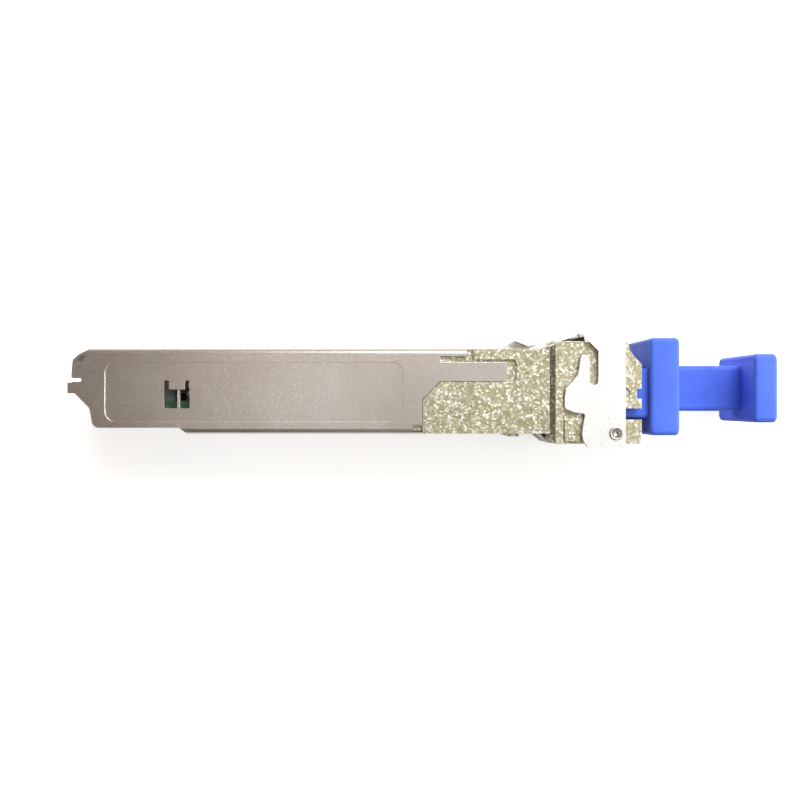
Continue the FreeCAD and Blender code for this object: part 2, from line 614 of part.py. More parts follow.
def make_board():
    """Board, narrower at the card edge and again where it enters the casting."""
    half = [("board_rear", "card_half", "0.3"), ("card_front", "card_half"), ("card_front", "board_half"),
            ("board_neck", "board_half"), ("board_neck", "board_neck_half"),
            ("board_front", "board_neck_half", "0.3")]
    outline = half[::-1] + [(corner[0], "-" + corner[1]) + corner[2:] for corner in half]
    part("printed_circuit_board", plate("board", "xy", [outline], ("board_low", "board_top")))


def make_contact_fingers():
    """Ten gold fingers on each face of the card edge."""
    faces = {"top": ("board_top", "board_top + finger_thick"),
             "bottom": ("board_low - finger_thick", "board_low")}
    count = 10
    for face, heights in faces.items():
        fingers = []
        for index in range(count):
            middle = f"{index - (count - 1) / 2} * finger_pitch"
            fingers.append(box(f"finger_{face}_{index}",
                               ("board_rear + 0.35", "board_rear + 0.35 + finger_long"),
                               (f"{middle} - finger_wide / 2", f"{middle} + finger_wide / 2"), heights))
        part(f"contact_fingers_{face}", group(f"fingers_{face}", fingers))


def make_chips():
    """Moulded chips, by place along and across the board, length, width and height."""
    chips = {
        "controller_chip": (-32.5, 0.6, 4.0, 4.0, 0.85),
        "laser_driver_chip": (-24.0, -3.1, 3.0, 3.0, 0.8),
        "amplifier_chip": (-24.0, 3.1, 3.0, 3.0, 0.8),
        "supply_chip": (-38.6, -4.0, 2.6, 2.6, 1.0),
    }
    for name, (x, y, long, wide, tall) in chips.items():
        part(name, box(name + "_body", (f"{x - long / 2}", f"{x + long / 2}"),
                       (f"{y - wide / 2}", f"{y + wide / 2}"),
                       ("board_top", f"board_top + {tall}")))
    part("memory_chip", box("memory_chip_body", ("-36.0", "-33.0"), ("-1.5", "1.5"),
                            ("board_low - 0.9", "board_low")))


def make_passives():
    """Rows of equal small components on the board's top face."""
    kinds = {
        "chip_resistors": ((1.0, 0.5, 0.35), [(-29.0, y) for y in (-5.0, -4.0, -3.0, 3.0, 4.0, 5.0)]
                           + [(-20.6, y) for y in (-1.2, 0.0, 1.2)]),
        "chip_capacitors": ((1.0, 0.5, 0.5), [(-27.2, y) for y in (-5.0, -4.0, -3.0, -2.0, 2.0, 3.0, 4.0,
                                                                   5.0)]
                            + [(-34.0, y) for y in (-5.0, -4.0, -3.0)]),
        "ferrite_beads": ((1.6, 0.8, 0.8), [(-35.8, y) for y in (3.0, 4.4)] + [(-38.0, y) for y in (1.4,
                                                                                                    3.0)]),
    }
    for kind, ((long, wide, tall), places) in kinds.items():
        pieces = [box(f"{kind}_{index}", (f"{x - long / 2}", f"{x + long / 2}"),
                      (f"{y - wide / 2}", f"{y + wide / 2}"),
                      ("board_top", f"board_top + {tall}")) for index, (x, y) in enumerate(places)]
        part(kind, group(kind + "_row", pieces))


def make_board_retainer():
    """Blade across the board whose two feet hold the board's edges inside the case."""
    blade = ("-36.92", "-36.63")
    reach = "case_inner - recess_deep - case_gap"
    bridge = box("retainer_bridge", blade, (f"-({reach})", reach), ("4.2", "4.6"))
    feet = [box(f"retainer_foot_{name}", blade, flank_span(side, "board_half + 0.04", reach),
                ("2.35", "4.3"))
            for name, side in FLANKS.items()]
    part("board_retainer", fuse("retainer_finished", [bridge] + feet))


def make_thermal_pad():
    """Soft pad that carries heat from the board to the case floor."""
    part("thermal_pad", box("pad_body", ("-30", "-23"), ("-3", "3"), ("case_sheet", "board_low")))


# The optical assemblies

def lead_places(middle):
    """Places across and up of the four leads of a can, on a circle about its axis."""
    for turn in (45, 135, 225, 315):
        yield f"{middle} + lead_circle * cos({turn})", f"optic_z + lead_circle * sin({turn})"


def make_optics():
    """Can, barrel, sleeve, ferrule stub, leads and flexible circuit for each port."""
    for name, side in PORTS.items():
        middle = f"{side} * port_pitch / 2"
        at = (middle, "optic_z")
        flange_front = "optics_rear_wall"
        body = rod(f"{name}_body", "x", "barrel_thick", ("barrel_rear", f"{flange_front} - 0.4"), at)
        flange = rod(f"{name}_flange", "x", "flange_thick",
                     (f"{flange_front} - flange_long", flange_front), at)
        snout = rod(f"{name}_snout", "x", "snout_thick", (f"{flange_front} - 0.4", "snout_front"), at)
        seat = rod(f"{name}_seat", "x", "sleeve_thick", ("stub_rear", "snout_front + 1"), at)
        part(f"{name}_barrel", cut(f"{name}_barrel_done",
                                   fuse(f"{name}_barrel_blank", [body, flange, snout]),
                                   [seat]))
        sleeve = rod(f"{name}_sleeve_body", "x", "sleeve_thick", ("sleeve_rear", "sleeve_front"), at)
        bore = rod(f"{name}_sleeve_bore", "x", "ferrule_bore", ("sleeve_rear - 1", "snout_front + 1"), at)
        part(f"{name}_sleeve", cut(f"{name}_sleeve_done", sleeve, [bore]))
        part(f"{name}_ferrule_stub", rod(f"{name}_stub", "x", "sleeve_thick",
                                         ("stub_rear", "sleeve_rear"), at))
        can = rod(f"{name}_can_body", "x", "can_thick", ("header_front", "barrel_rear"), at)
        header = rod(f"{name}_header", "x", "header_thick", ("header_rear", "header_front"), at)
        part(f"{name}_can", fuse(f"{name}_can_done", [can, header]))
        leads = [rod(f"{name}_lead_{index}", "x", "lead_thick", ("lead_rear", "header_rear"), place)
                 for index, place in enumerate(lead_places(middle))]
        part(f"{name}_leads", group(f"{name}_lead_group", leads))
        line = "board_top + flex_thick / 2"
        flex = strip([("-13.2", "5.9"), ("-13.2", line), ("-18.6", line)], "flex_thick", 0.5)
        half = "1.8"
        ribbon = plate(f"{name}_flex_body", "xz", [flex], (f"{middle} - {half}", f"{middle} + {half}"))
        holes = [rod(f"{name}_flex_hole_{index}", "x", "lead_thick", ("lead_rear - 0.1", "-12.8"), place)
                 for index, place in enumerate(lead_places(middle))]
        part(f"{name}_flex_circuit", cut(f"{name}_flex_done", ribbon, holes))


def make_optics_plates():
    """Bracket round both barrels and the shield plate in front of it."""
    spans = {"optics_bracket": ("-7.4", "-6.4"), "shield_plate": ("-4.9", "-4.5")}
    for name, along in spans.items():
        blank = box(name + "_blank", along, ("-optics_half + 0.05", "optics_half - 0.05"),
                    ("optics_floor + 0.02", "case_tall - 1.5"))
        holes = [rod(f"{name}_hole_{port}", "x", "barrel_thick + 0.02",
                     (f"{along[0]} - 1", f"{along[1]} + 1"),
                     (f"{side} * port_pitch / 2", "optic_z")) for port, side in PORTS.items()]
        part(name, cut(name + "_done", blank, holes))


def check_document():
    """Stop if any object failed or any sub-part is empty or invalid."""
    doc.recompute()
    for item in doc.Objects:
        if {"Invalid", "Error"} & set(item.State):
            raise RuntimeError(f"{item.Name} failed: {item.State}")
    for name, item in parts.items():
        if item.Shape.isNull() or not item.Shape.isValid():
            raise RuntimeError(f"{name} has no valid shape")


def write_parts():
    """Write each sub-part to its own STEP file."""
    os.makedirs("parts", exist_ok=True)
    for name, item in parts.items():
        item.Shape.exportStep(f"parts/{name}.step")
        print(f"{name}: {len(item.Shape.Solids)} solids, {item.Shape.Volume:.2f} mm3")


make_rear_case()
make_front_housing()
make_ground_spring()
make_bail()
make_pivot_axle()
make_crank()
make_actuator()
make_dust_plug()
make_board()
make_contact_fingers()
make_chips()
make_passives()
make_board_retainer()
make_thermal_pad()
make_optics()
make_optics_plates()
check_document()
write_parts()
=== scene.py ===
"""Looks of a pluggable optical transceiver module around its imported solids.

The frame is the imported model's own: +X out of the front, +Z up, metres. Sizes written here are in
mm unless they say otherwise. Every new surface is worked out as whole numpy arrays, and every
finish is a small frozen dataclass.
"""

import json
import logging
import math
from dataclasses import dataclass, field
from enum import Enum
from typing import Iterable

import bmesh
import bpy
import numpy as np
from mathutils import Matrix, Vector

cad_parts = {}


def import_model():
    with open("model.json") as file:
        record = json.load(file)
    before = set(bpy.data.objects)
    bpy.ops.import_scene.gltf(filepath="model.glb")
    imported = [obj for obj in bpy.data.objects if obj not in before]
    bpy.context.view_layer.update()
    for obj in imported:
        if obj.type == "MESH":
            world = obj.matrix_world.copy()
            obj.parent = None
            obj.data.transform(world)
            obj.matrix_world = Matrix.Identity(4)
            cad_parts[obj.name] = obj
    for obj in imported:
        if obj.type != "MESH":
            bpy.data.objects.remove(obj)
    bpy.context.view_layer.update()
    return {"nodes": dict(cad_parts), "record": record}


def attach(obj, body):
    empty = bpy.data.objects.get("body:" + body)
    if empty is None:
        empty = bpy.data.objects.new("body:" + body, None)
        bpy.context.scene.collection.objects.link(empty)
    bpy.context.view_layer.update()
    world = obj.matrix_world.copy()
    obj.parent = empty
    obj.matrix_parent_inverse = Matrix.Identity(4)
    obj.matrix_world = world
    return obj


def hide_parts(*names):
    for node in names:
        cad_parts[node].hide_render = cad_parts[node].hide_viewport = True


LOG = logging.getLogger("module_looks")
MM = 0.001  # metres in one mm
MERGE = 0.01  # mm between points of a CAD mesh that are one
SAME = 1e-7  # metres between points of a new surface that are one
CREASE = 21.0  # degrees above which two faces meet in a crease
SHARP = 28.0  # degrees above which an edge is bevelled
ROOM = 2.2  # bevel widths that each neighbour of a bevelled edge has at least
BEVEL_STEPS = 3
QUARTER = 7  # points along a quarter circle

Triple = tuple[float, float, float]
Span = tuple[float, float, float, float]
Feed = float | bpy.types.NodeSocket


class Axis(Enum):
    """Row axis that a turned surface runs along."""

    X = 0
    Y = 1
    Z = 2


# Shader node groups, built once and shared by the finishes


def new_group(name: str, numbers: dict[str, float], outputs: Iterable[str]) -> bpy.types.NodeTree:
    """Start a shader node group that takes a vector and numbers and puts out numbers.

    Args:
        name: the group's name.
        numbers: input names and their default values.
        outputs: output names.

    Returns:
        The empty node tree, with its input and output nodes named "in" and "out".
    """
    tree = bpy.data.node_groups.new(name, "ShaderNodeTree")
    tree.interface.new_socket("Vector", in_out="INPUT", socket_type="NodeSocketVector")
    for label, value in numbers.items():
        socket = tree.interface.new_socket(label, in_out="INPUT", socket_type="NodeSocketFloat")
        socket.default_value = value
    for label in outputs:
        tree.interface.new_socket(label, in_out="OUTPUT", socket_type="NodeSocketFloat")
    tree.nodes.new("NodeGroupInput").name = "in"
    tree.nodes.new("NodeGroupOutput").name = "out"
    return tree


def wire(tree: bpy.types.NodeTree, source: bpy.types.Node, target: bpy.types.Node,
         *labels: str) -> None:
    """Link each named output of one node to the input of the same name on another."""
    for label in labels:
        tree.links.new(source.outputs[label], target.inputs[label])


def math_node(tree: bpy.types.NodeTree, operation: str, *feeds: Feed) -> bpy.types.NodeSocket:
    """Add a Math node.

    Args:
        tree: the node tree that it goes in.
        operation: what it works out.
        feeds: its inputs in order, each a socket or a plain number.

    Returns:
        The node's output.
    """
    node = tree.nodes.new("ShaderNodeMath")
    node.operation = operation
    for socket, feed in zip(node.inputs, feeds):
        if isinstance(feed, (int, float)):
            socket.default_value = feed
        else:
            tree.links.new(feed, socket)
    return node.outputs[0]


def grain_group() -> bpy.types.NodeTree:
    """Build fine grain: noise at one scale, stretched between a low and a high value.

    Returns:
        The group, with a number out.
    """
    numbers = {"Scale": 400.0, "Low": 0.0, "High": 1.0, "Detail": 3.0}
    tree = new_group("fine_grain", numbers, ["Value"])
    start, stop = tree.nodes["in"], tree.nodes["out"]
    noise = tree.nodes.new("ShaderNodeTexNoise")
    wire(tree, start, noise, "Vector", "Scale", "Detail")
    spread = tree.nodes.new("ShaderNodeMapRange")
    spread.inputs["From Min"].default_value = 0.3
    spread.inputs["From Max"].default_value = 0.7
    tree.links.new(noise.outputs["Fac"], spread.inputs["Value"])
    tree.links.new(start.outputs["Low"], spread.inputs["To Min"])
    tree.links.new(start.outputs["High"], spread.inputs["To Max"])
    tree.links.new(spread.outputs["Result"], stop.inputs["Value"])
    return tree


def crystal_group() -> bpy.types.NodeTree:
    """Build crystal facets: each small cell gets random values. One, raised to a power, picks the
    cells that are painted bright as sparkle, and one lifts the cell's bump so cells catch light
    apart.

    Returns:
        The group, with a number and a height out.
    """
    tree = new_group("crystal_facets", {"Scale": 6000.0, "Sharp": 1.0}, ["Value", "Height"])
    start, stop = tree.nodes["in"], tree.nodes["out"]
    cells = tree.nodes.new("ShaderNodeTexVoronoi")
    cells.feature = "F1"
    wire(tree, start, cells, "Vector", "Scale")
    split = tree.nodes.new("ShaderNodeSeparateColor")
    tree.links.new(cells.outputs["Color"], split.inputs["Color"])
    power = math_node(tree, "POWER", split.outputs[0], start.outputs["Sharp"])
    tree.links.new(power, stop.inputs["Value"])
    lift = math_node(tree, "ADD", split.outputs[1], cells.outputs["Distance"])
    tree.links.new(lift, stop.inputs["Height"])
    return tree


def scuff_group() -> bpy.types.NodeTree:
    """Build scuffs: thin bright scratches where a rough noise crosses its middle value.

    Returns:
        The group, with a mask out.
    """
    middle, half_width = 0.5, 0.006
    tree = new_group("scuffs", {"Amount": 0.3, "Scale": 260.0}, ["Mask"])
    start, stop = tree.nodes["in"], tree.nodes["out"]
    noise = tree.nodes.new("ShaderNodeTexNoise")
    noise.inputs["Detail"].default_value = 8.0
    noise.inputs["Roughness"].default_value = 0.75
    wire(tree, start, noise, "Vector", "Scale")
    away = math_node(tree, "ABSOLUTE", math_node(tree, "SUBTRACT", noise.outputs["Fac"], middle))
    thin = math_node(tree, "LESS_THAN", away, half_width)
    amount = math_node(tree, "MULTIPLY", thin, start.outputs["Amount"])
    tree.links.new(amount, stop.inputs["Mask"])
    return tree


def fleck_group() -> bpy.types.NodeTree:
    """Build flecks: sparse round specks and pits in a fine, even field.

    Returns:
        The group, with a mask out.
    """
    tree = new_group("flecks", {"Scale": 1500.0, "Size": 0.12}, ["Mask"])
    start, stop = tree.nodes["in"], tree.nodes["out"]
    cells = tree.nodes.new("ShaderNodeTexVoronoi")
    wire(tree, start, cells, "Vector", "Scale")
    inside = math_node(tree, "LESS_THAN", cells.outputs["Distance"], start.outputs["Size"])
    tree.links.new(inside, stop.inputs["Mask"])
    return tree


@dataclass
class Effects:
    """The shared node groups."""

    grain: bpy.types.NodeTree = field(default_factory=grain_group)
    crystals: bpy.types.NodeTree = field(default_factory=crystal_group)
    scuffs: bpy.types.NodeTree = field(default_factory=scuff_group)
    flecks: bpy.types.NodeTree = field(default_factory=fleck_group)


class Bench:
    """A material under construction, with short ways to add its nodes."""

    def __init__(self, name: str, stretch: Triple = (1, 1, 1)) -> None:
        """Start a material whose patterns read Object coordinates.

        Args:
            name: the material's name.
            stretch: scale of the stretched coordinates along each axis.
        """
        self.material = bpy.data.materials.new(name)
        self.material.use_nodes = True
        self.tree = self.material.node_tree
        self.shader = next(n for n in self.tree.nodes if n.type == "BSDF_PRINCIPLED")
        place = self.tree.nodes.new("ShaderNodeTexCoord")
        turn = self.tree.nodes.new("ShaderNodeMapping")
        turn.inputs["Scale"].default_value = stretch
        self.tree.links.new(place.outputs["Object"], turn.inputs["Vector"])
        self.place = place.outputs["Object"]
        self.stretched = turn.outputs["Vector"]

    def effect(self, group: bpy.types.NodeTree, vector: bpy.types.NodeSocket,
               **values: float) -> bpy.types.Node:
        """Place one shared group.

        Args:
            group: the node group.
            vector: the coordinates that it reads.
            values: values of its other inputs, by name.

        Returns:
            The group's node.
        """
        node = self.tree.nodes.new("ShaderNodeGroup")
        node.node_tree = group
        self.tree.links.new(vector, node.inputs["Vector"])
        for label, value in values.items():
            node.inputs[label].default_value = value
        return node

    def blend(self, mask: bpy.types.NodeSocket, first: Triple | bpy.types.NodeSocket,
              second: Triple | bpy.types.NodeSocket) -> bpy.types.NodeSocket:
        """Mix two colours, each a socket or an RGB triple.

        Args:
            mask: how much of the second colour shows.
            first: the colour where the mask is 0.
            second: the colour where the mask is 1.

        Returns:
            The mixed colour.
        """
        node = self.tree.nodes.new("ShaderNodeMix")
        node.data_type = "RGBA"
        self.tree.links.new(mask, node.inputs["Factor"])
        for label, colour in (("A", first), ("B", second)):
            socket = next(s for s in node.inputs if s.name == label and s.type == "RGBA")
            if isinstance(colour, tuple):
                socket.default_value = (*colour, 1)
            else:
                self.tree.links.new(colour, socket)
        return next(s for s in node.outputs if s.type == "RGBA")

    def set(self, label: str, value: Feed) -> None:
        """Set one input of the shader.

        Args:
            label: the input's name.
            value: a plain number, or a socket to link.
        """
        if isinstance(value, bpy.types.NodeSocket):
            self.tree.links.new(value, self.shader.inputs[label])
        else:
            self.shader.inputs[label].default_value = value

    def bump(self, *layers: tuple[bpy.types.NodeSocket, float, float]) -> None:
        """Feed the shader's normal from height layers, each bump on top of the one before.

        Args:
            layers: height socket, strength and depth in mm of each layer.
        """
        under = None
        for height, strength, depth in layers:
            node = self.tree.nodes.new("ShaderNodeBump")
            node.inputs["Strength"].default_value = strength
            node.inputs["Distance"].default_value = depth * MM
            self.tree.links.new(height, node.inputs["Height"])
            if under is not None:
                self.tree.links.new(under, node.inputs["Normal"])
            under = node.outputs["Normal"]
        self.tree.links.new(under, self.shader.inputs["Normal"])


# Finishes. A relief is the strength of a bump and its depth in mm, and a scale is in cells per
# metre.


@dataclass(frozen=True)
class SheetFinish:
    """Plated sheet metal: satin, rolled along the module, with faint flecks."""

    name: str
    light: Triple
    dark: Triple
    rough: tuple[float, float] = (0.27, 0.36)
    rolled: float = 0.25
    fleck: float = 0.25
    metal: float = 1.0
    rolled_depth: float = 0.012
    fleck_relief: tuple[float, float] = (0.3, 0.008)
    tone_scale: float = 90.0
    rolled_scale: float = 7000.0
    rough_scale: float = 9000.0
    fleck_scale: float = 2600.0
    fleck_size: float = 0.16
    pit_shade: float = 0.55
    scuff: float = 0.12
    scuff_tone: Triple = (0.92, 0.91, 0.88)
    stretch: Triple = (0.5, 1.0, 1.0)

    def make(self, effects: Effects) -> bpy.types.Material:
        """Build the material.

        Args:
            effects: the shared node groups.

        Returns:
            The finished material.
        """
        bench = Bench(self.name, self.stretch)
        low, high = self.rough
        tone = bench.effect(effects.grain, bench.place, Scale=self.tone_scale)
        rolled = bench.effect(effects.grain, bench.stretched, Scale=self.rolled_scale, Detail=2.0)
        flecks = bench.effect(effects.flecks, bench.place, Scale=self.fleck_scale,
                              Size=self.fleck_size)
        scuffs = bench.effect(effects.scuffs, bench.stretched, Amount=self.scuff)
        rough = bench.effect(effects.grain, bench.stretched, Scale=self.rough_scale, Low=low,
                             High=high, Detail=1.0)
        base = bench.blend(tone.outputs["Value"], self.dark, self.light)
        pitted = math_node(bench.tree, "MULTIPLY", flecks.outputs["Mask"], self.fleck)
        base = bench.blend(pitted, base, tuple(self.pit_shade * c for c in self.dark))
        base = bench.blend(scuffs.outputs["Mask"], base, self.scuff_tone)
        bench.set("Base Color", base)
        bench.set("Metallic", self.metal)
        bench.set("Roughness", rough.outputs["Value"])
        bench.bump((rolled.outputs["Value"], self.rolled, self.rolled_depth),
                   (flecks.outputs["Mask"], *self.fleck_relief))
        return bench.material


@dataclass(frozen=True)
class CastFinish:
    """Plated zinc casting: coarse crystals over a grainy khaki skin, with the brightest crystals
    painted near white as sparkle.
    """

    name: str
    light: Triple
    dark: Triple
    crystal_scale: float = 5200.0
    crystal_painted_sparkle: Triple = (0.98, 0.96, 0.9)
    crystal_relief: tuple[float, float] = (0.45, 0.016)
    sharp: float = 4.0
    skin_scale: float = 1400.0
    skin_relief: tuple[float, float] = (0.45, 0.02)
    patch_scale: float = 160.0
    patch: float = 0.5
    metal: float = 0.85
    rough: tuple[float, float] = (0.34, 0.6)
    rough_scale: float = 3000.0

    def make(self, effects: Effects) -> bpy.types.Material:
        """Build the material.

        Args:
            effects: the shared node groups.

        Returns:
            The finished material.
        """
        bench = Bench(self.name)
        low, high = self.rough
        crystals = bench.effect(effects.crystals, bench.place, Scale=self.crystal_scale,
                                Sharp=self.sharp)
        skin = bench.effect(effects.grain, bench.place, Scale=self.skin_scale, Detail=6.0)
        patches = bench.effect(effects.grain, bench.place, Scale=self.patch_scale, High=self.patch)
        rough = bench.effect(effects.grain, bench.place, Scale=self.rough_scale, Low=low, High=high)
        base = bench.blend(skin.outputs["Value"], self.dark, self.light)
        base = bench.blend(patches.outputs["Value"], base, self.light)
        # Painted sparkle: sparse crystal cells tinted near white stand in for glints, over the
        # cells' real bump.
        base = bench.blend(crystals.outputs["Value"], base, self.crystal_painted_sparkle)
        bench.set("Base Color", base)
        bench.set("Metallic", self.metal)
        bench.set("Roughness", rough.outputs["Value"])
        bench.bump((crystals.outputs["Height"], *self.crystal_relief),
                   (skin.outputs["Value"], *self.skin_relief))
        return bench.material


@dataclass(frozen=True)
class MouldedFinish:
    """Moulded plastic, rubber, ceramic or package: soft tone changes over a fine texture."""

    name: str
    light: Triple
    dark: Triple
    rough: tuple[float, float] = (0.5, 0.65)
    grain: float = 3500.0
    depth: float = 0.01
    sheen: float = 0.0
    coat: float = 0.0
    strength: float = 0.5
    tone_scale: float = 220.0
    rough_scale: float = 1200.0
    dust: float = 0.18
    dust_scale: float = 1700.0
    dust_size: float = 0.07

    def make(self, effects: Effects) -> bpy.types.Material:
        """Build the material.

        Args:
            effects: the shared node groups.

        Returns:
            The finished material.
        """
        bench = Bench(self.name)
        low, high = self.rough
        tone = bench.effect(effects.grain, bench.place, Scale=self.tone_scale, Detail=5.0)
        skin = bench.effect(effects.grain, bench.place, Scale=self.grain)
        dust = bench.effect(effects.flecks, bench.place, Scale=self.dust_scale,
                            Size=self.dust_size)
        rough = bench.effect(effects.grain, bench.place, Scale=self.rough_scale, Low=low, High=high)
        base = bench.blend(tone.outputs["Value"], self.dark, self.light)
        faint = math_node(bench.tree, "MULTIPLY", dust.outputs["Mask"], self.dust)
        base = bench.blend(faint, base, tuple(min(1.0, c * 1.6 + 0.05) for c in self.light))
        bench.set("Base Color", base)
        bench.set("Roughness", rough.outputs["Value"])
        bench.set("Sheen Weight", self.sheen)
        bench.set("Coat Weight", self.coat)
        bench.bump((skin.outputs["Value"], self.strength, self.depth))
        return bench.material


@dataclass(frozen=True)
class BoardFinish:
    """Circuit board: green mask over copper tracks that run along the board."""

    name: str
    mask: Triple = (0.008, 0.045, 0.022)
    copper: Triple = (0.02, 0.09, 0.045)
    stretch: Triple = (0.15, 1.0, 1.0)
    track_scale: float = 650.0
    wander: float = 2.5
    gap: float = 0.72
    track_relief: tuple[float, float] = (0.4, 0.03)
    grain_scale: float = 900.0
    grain: float = 0.4
    rough: float = 0.32
    coat: float = 0.3

    def make(self, effects: Effects) -> bpy.types.Material:
        """Build the material.

        Args:
            effects: the shared node groups.

        Returns:
            The finished material.
        """
        bench = Bench(self.name, self.stretch)
        tracks = bench.tree.nodes.new("ShaderNodeTexWave")
        tracks.bands_direction = "Y"
        tracks.inputs["Scale"].default_value = self.track_scale
        tracks.inputs["Distortion"].default_value = self.wander
        bench.tree.links.new(bench.stretched, tracks.inputs["Vector"])
        line = math_node(bench.tree, "GREATER_THAN", tracks.outputs["Fac"], self.gap)
        grain = bench.effect(effects.grain, bench.place, Scale=self.grain_scale, High=self.grain)
        base = bench.blend(line, self.mask, self.copper)
        base = bench.blend(grain.outputs["Value"], base, self.mask)
        bench.set("Base Color", base)
        bench.set("Roughness", self.rough)
        bench.set("Coat Weight", self.coat)
        bench.bump((line, *self.track_relief))
        return bench.material


FINISHES = {
    "cast_housing": CastFinish("cast_zinc", (0.42, 0.39, 0.255), (0.27, 0.245, 0.14)),
    # Painted highlight: a much lighter casting finish on the bevels stands in for light caught by
    # the edges.
    "cast_housing_edge": CastFinish("cast_edge_painted_highlight", (0.86, 0.82, 0.66), (0.64, 0.59, 0.42), 7000.0),
    "case_steel": SheetFinish("case_nickel", (0.60, 0.565, 0.535), (0.49, 0.445, 0.405)),
    # Painted highlight: a lighter case finish on the bevels.
    "case_steel_edge": SheetFinish(
        "case_edge_painted_highlight", (0.90, 0.88, 0.85), (0.76, 0.73, 0.68), (0.18, 0.3)),
    "spring_steel": SheetFinish(
        "spring_sheet", (0.80, 0.79, 0.75), (0.66, 0.64, 0.60), (0.18, 0.3)),
    # Painted highlight: a lighter spring finish on the bevels.
    "spring_steel_edge": SheetFinish(
        "spring_edge_painted_highlight", (0.92, 0.91, 0.89), (0.80, 0.79, 0.76), (0.14, 0.25)),
    "bail_steel": SheetFinish(
        "bail_bright", (0.90, 0.90, 0.885), (0.83, 0.83, 0.81), (0.26, 0.4), fleck=0.5, metal=0.8),
    # Painted shade: a darker bail finish on the bevels draws dark edge lines.
    "bail_steel_edge": SheetFinish(
        "bail_edge_painted_shade", (0.80, 0.79, 0.77), (0.62, 0.61, 0.59), (0.14, 0.26)),
    "axle_steel": SheetFinish(
        "axle_turned", (0.66, 0.64, 0.60), (0.46, 0.44, 0.41), (0.25, 0.4)),
    "plug_rubber": MouldedFinish(
        "plug_blue", (0.075, 0.175, 0.84), (0.05, 0.125, 0.68), (0.6, 0.75), grain=2600.0,
        depth=0.02, sheen=0.05),
    "board_laminate": BoardFinish("board_mask"),
    "gold_fingers": SheetFinish(
        "finger_gold", (0.95, 0.72, 0.30), (0.83, 0.58, 0.20), (0.18, 0.3)),
    "chip_black": MouldedFinish("package_black", (0.03, 0.03, 0.032), (0.015, 0.015, 0.017)),
    "chip_grey": MouldedFinish("package_grey", (0.11, 0.13, 0.11), (0.07, 0.085, 0.07)),
    "resistor_black": MouldedFinish(
        "resistor_film", (0.05, 0.05, 0.06), (0.02, 0.02, 0.025), (0.25, 0.4)),
    "capacitor_tan": MouldedFinish(
        "capacitor_body", (0.42, 0.29, 0.17), (0.30, 0.20, 0.11), (0.35, 0.5)),
    "ferrite_grey": MouldedFinish("ferrite_body", (0.13, 0.13, 0.14), (0.07, 0.07, 0.08)),
    "barrel_steel": SheetFinish(
        "barrel_turned", (0.76, 0.75, 0.74), (0.60, 0.59, 0.58), (0.16, 0.3)),
    "zirconia": MouldedFinish(
        "zirconia_white", (0.90, 0.89, 0.84), (0.80, 0.79, 0.74), (0.12, 0.2), coat=0.4),
    "can_gold": SheetFinish("can_plating", (0.90, 0.70, 0.36), (0.74, 0.54, 0.24), (0.2, 0.32)),
    "flex_amber": MouldedFinish(
        "flex_film", (0.50, 0.22, 0.03), (0.36, 0.14, 0.02), (0.15, 0.25), coat=0.3),
    "pad_grey": MouldedFinish(
        "pad_silicone", (0.36, 0.42, 0.50), (0.28, 0.33, 0.40), (0.7, 0.85)),
    "solder": SheetFinish("solder_tin", (0.84, 0.84, 0.83), (0.66, 0.66, 0.66), (0.2, 0.35)),
}


class Wardrobe:
    """Makes each finish once and hands it out by its slot."""

    def __init__(self) -> None:
        """Start with no material made."""
        self.effects = Effects()
        self.made: dict[str, bpy.types.Material] = {}

    def of(self, slot: str) -> bpy.types.Material:
        """Find the material of one slot, and make it the first time.

        Args:
            slot: the slot's name.

        Returns:
            The slot's material.
        """
        if slot not in self.made:
            self.made[slot] = FINISHES[slot].make(self.effects)
        return self.made[slot]

    def dress(self, piece: bpy.types.Object, slot: str) -> None:
        """Give a piece the one material of a slot."""
        piece.data.materials.clear()
        piece.data.materials.append(self.of(slot))


# Surfaces


def mesh_object(name: str, points: np.ndarray, faces: list) -> bpy.types.Object:
    """Make an object from points in metres, with doubles merged and faces turned outwards.

    Args:
        name: the piece's name.
        points: an array of n by 3 places.
        faces: lists of point numbers.

    Returns:
        The new object, linked to the scene.
    """
    mesh = bpy.data.meshes.new(name)
    mesh.from_pydata(points, [], faces)
    piece = bpy.data.objects.new(name, mesh)
    bpy.context.scene.collection.objects.link(piece)
    work = bmesh.new()
    work.from_mesh(mesh)
    bmesh.ops.remove_doubles(work, verts=work.verts, dist=SAME)
    bmesh.ops.recalc_face_normals(work, faces=work.faces)
    work.to_mesh(mesh)
    work.free()
    mesh.shade_smooth()
    return piece


def grid_faces(rows: int, columns: int, closed_rows: bool, closed_columns: bool) -> list:
    """Number the four-sided faces of a grid: (r, c), (r, c + 1), (r + 1, c + 1), (r + 1, c).

    Args:
        rows: points down the grid.
        columns: points across it.
        closed_rows: whether the last row joins the first.
        closed_columns: whether the last column joins the first.

    Returns:
        Four point numbers for each face.
    """
    row = np.arange(rows if closed_rows else rows - 1)
    column = np.arange(columns if closed_columns else columns - 1)
    r, c = (a.ravel() for a in np.meshgrid(row, column, indexing="ij"))
    up, across = (r + 1) % rows, (c + 1) % columns
    corners = (r * columns + c, r * columns + across, up * columns + across, up * columns + c)
    return np.stack(corners, 1).tolist()


def turned(name: str, profile: np.ndarray, centre: Triple, axis: Axis,
           around: int = 48) -> bpy.types.Object:
    """Turn a closed profile round an axis.

    The point at profile place (a, r) and angle t is centre + a along the axis + r cos t and
    r sin t along the other two.

    Args:
        name: the piece's name.
        profile: closed loop of (along, radius) rows, in mm.
        centre: a place on the axis, in mm.
        axis: the axis of turning.
        around: steps round the axis.

    Returns:
        The ring-shaped piece.
    """
    angle = np.linspace(0, 2 * math.pi, around, endpoint=False)
    radius = profile[:, 1:2]
    points = np.empty((len(profile), around, 3))
    first, second = [k for k in range(3) if k != axis.value]
    points[..., axis.value] = profile[:, :1]
    points[..., first] = radius * np.cos(angle)
    points[..., second] = radius * np.sin(angle)
    points = (points + np.array(centre)).reshape(-1, 3) * MM
    return mesh_object(name, points, grid_faces(len(profile), around, True, True))


